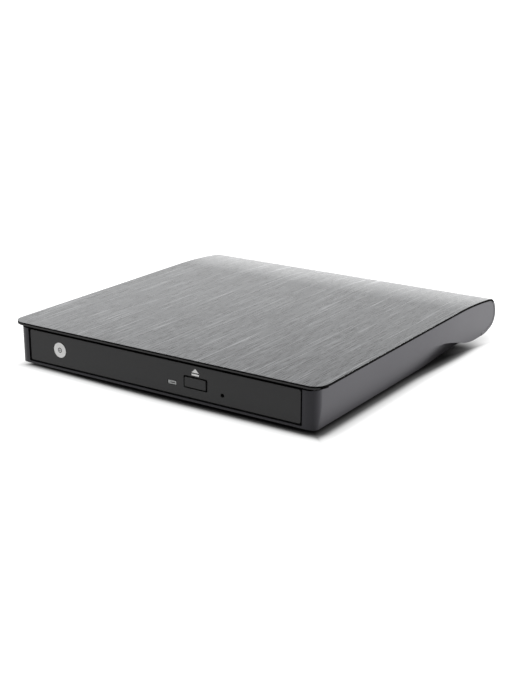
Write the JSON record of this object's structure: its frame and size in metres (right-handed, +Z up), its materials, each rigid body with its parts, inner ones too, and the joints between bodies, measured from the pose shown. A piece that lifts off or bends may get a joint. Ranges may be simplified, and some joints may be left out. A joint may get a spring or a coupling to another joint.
{
  "type": "external optical drive",
  "caption": "External slim DVD drive with a brushed cover wrapped round its tail, sliding disc tray on telescopic rails, eject button, spindle and pickup.",
  "frame": {"origin": "middle of the case's footprint on the surface it stands on", "axes": "+X to the right seen from the front, +Y to the back, +Z up"},
  "size_m": [0.146, 0.15, 0.019],
  "materials": {
    "cover": "brushed front to back, dark grey",
    "case_plastic": "smooth dark purple-grey",
    "rubber": "matt black",
    "steel": "zinc-coated sheet",
    "screw_steel": "turned and plated",
    "board": "green solder resist",
    "chip": "black moulding",
    "socket_shell": "plated",
    "dark_plastic": "black moulding",
    "white_plastic": "natural moulding",
    "tray_plastic": "fine texture",
    "bezel_plastic": "fine texture",
    "lens_plastic": "frosted light guide",
    "alloy": "die cast",
    "coil": "coil with tape",
    "glass": "coated lens"
  },
  "bodies": {
    "case": {"top_cover": "cover", "base_case": "case_plastic", "rubber_feet": "rubber", "drive_screws": "screw_steel", "bridge_board": "board", "bridge_chips": "chip", "bridge_screws": "screw_steel", "usb_shell": "socket_shell", "usb_tongue": "dark_plastic", "sata_plug": "dark_plastic", "drive_pan": "steel", "drive_lid": "steel", "left_guide": "white_plastic", "right_guide": "white_plastic", "drive_board": "board", "drive_chips": "chip", "ribbon_socket": "white_plastic", "tray_ribbon": "white_plastic", "sata_socket": "dark_plastic", "latch_post": "steel"},
    "left_slide": {"left_rail": "steel"},
    "right_slide": {"right_rail": "steel"},
    "tray": {"disc_tray": "tray_plastic", "front_bezel": "bezel_plastic", "led_lens": "lens_plastic", "status_led": "white_plastic", "tray_board": "board", "eject_switch": "white_plastic", "tray_shield": "steel", "traverse_plate": "steel", "dampers": "rubber", "damper_screws": "screw_steel", "spindle_motor": "alloy", "motor_screws": "screw_steel", "guide_rods": "screw_steel", "rod_holders": "dark_plastic", "sled_motor": "screw_steel", "screw_bracket": "alloy", "latch_solenoid": "coil"},
    "button": {"eject_button": "bezel_plastic"},
    "spindle": {"rotor": "screw_steel", "turntable": "tray_plastic", "centre_hub": "tray_plastic", "hub_pad": "rubber"},
    "claw_1": {"claw_a": "white_plastic"},
    "claw_2": {"claw_b": "white_plastic"},
    "claw_3": {"claw_c": "white_plastic"},
    "sled": {"pickup": "alloy", "screw_follower": "white_plastic"},
    "lens": {"lens_holder": "dark_plastic", "objective_lens": "glass"},
    "screw": {"lead_screw": "screw_steel"},
    "latch": {"latch_lever": "white_plastic"},
    "plunger": {"latch_plunger": "screw_steel"}
  },
  "joints": [
    {"name": "tray_slide", "type": "slide", "parent": "case", "child": "tray", "axis": [0, -1, 0], "range_m": [0, 0.128], "deforming": ["tray_ribbon"]},
    {"name": "left_rail_slide", "type": "slide", "parent": "case", "child": "left_slide", "axis": [0, -1, 0], "range_m": [0, 0.064]},
    {"name": "right_rail_slide", "type": "slide", "parent": "case", "child": "right_slide", "axis": [0, -1, 0], "range_m": [0, 0.064]},
    {"name": "button_press", "type": "slide", "parent": "tray", "child": "button", "axis": [0, 1, 0], "range_m": [0, 0.0006], "stiffness_N_per_m": 800},
    {"name": "spindle_spin", "type": "hinge", "parent": "tray", "child": "spindle", "pos_m": [0, -0.0085, 0.0105], "axis": [0, 0, 1], "continuous": true},
    {"name": "claw_1_press", "type": "slide", "parent": "spindle", "child": "claw_1", "axis": [-0.2588, 0.9659, 0], "range_m": [0, 0.0007], "stiffness_N_per_m": 300},
    {"name": "claw_2_press", "type": "slide", "parent": "spindle", "child": "claw_2", "axis": [-0.7071, -0.7071, 0], "range_m": [0, 0.0007], "stiffness_N_per_m": 300},
    {"name": "claw_3_press", "type": "slide", "parent": "spindle", "child": "claw_3", "axis": [0.9659, -0.2588, 0], "range_m": [0, 0.0007], "stiffness_N_per_m": 300},
    {"name": "sled_slide", "type": "slide", "parent": "tray", "child": "sled", "axis": [-0.7071, -0.7071, 0], "range_m": [-0.0035, 0.0315]},
    {"name": "screw_spin", "type": "hinge", "parent": "tray", "child": "screw", "pos_m": [-0.00919, -0.04173, 0.0066], "axis": [-0.7071, -0.7071, 0], "range_deg": [-420, 3780]},
    {"name": "lens_focus", "type": "slide", "parent": "sled", "child": "lens", "axis": [0, 0, 1], "range_m": [-0.0003, 0.0004], "stiffness_N_per_m": 60},
    {"name": "latch_swing", "type": "hinge", "parent": "tray", "child": "latch", "pos_m": [0.0445, -0.052, 0.0051], "axis": [0, 0, 1], "range_deg": [0, 10]},
    {"name": "plunger_pull", "type": "slide", "parent": "tray", "child": "plunger", "axis": [0, 1, 0], "range_m": [-0.00113, 0]}
  ],
  "couplings": [
    {"joint": "left_rail_slide", "follows": "tray_slide", "ratio": 0.5},
    {"joint": "right_rail_slide", "follows": "tray_slide", "ratio": 0.5},
    {"joint": "screw_spin", "follows": "sled_slide", "rad_per_m": 2094.4},
    {"joint": "latch_swing", "follows": "plunger_pull", "rad_per_m": -153.91}
  ]
}
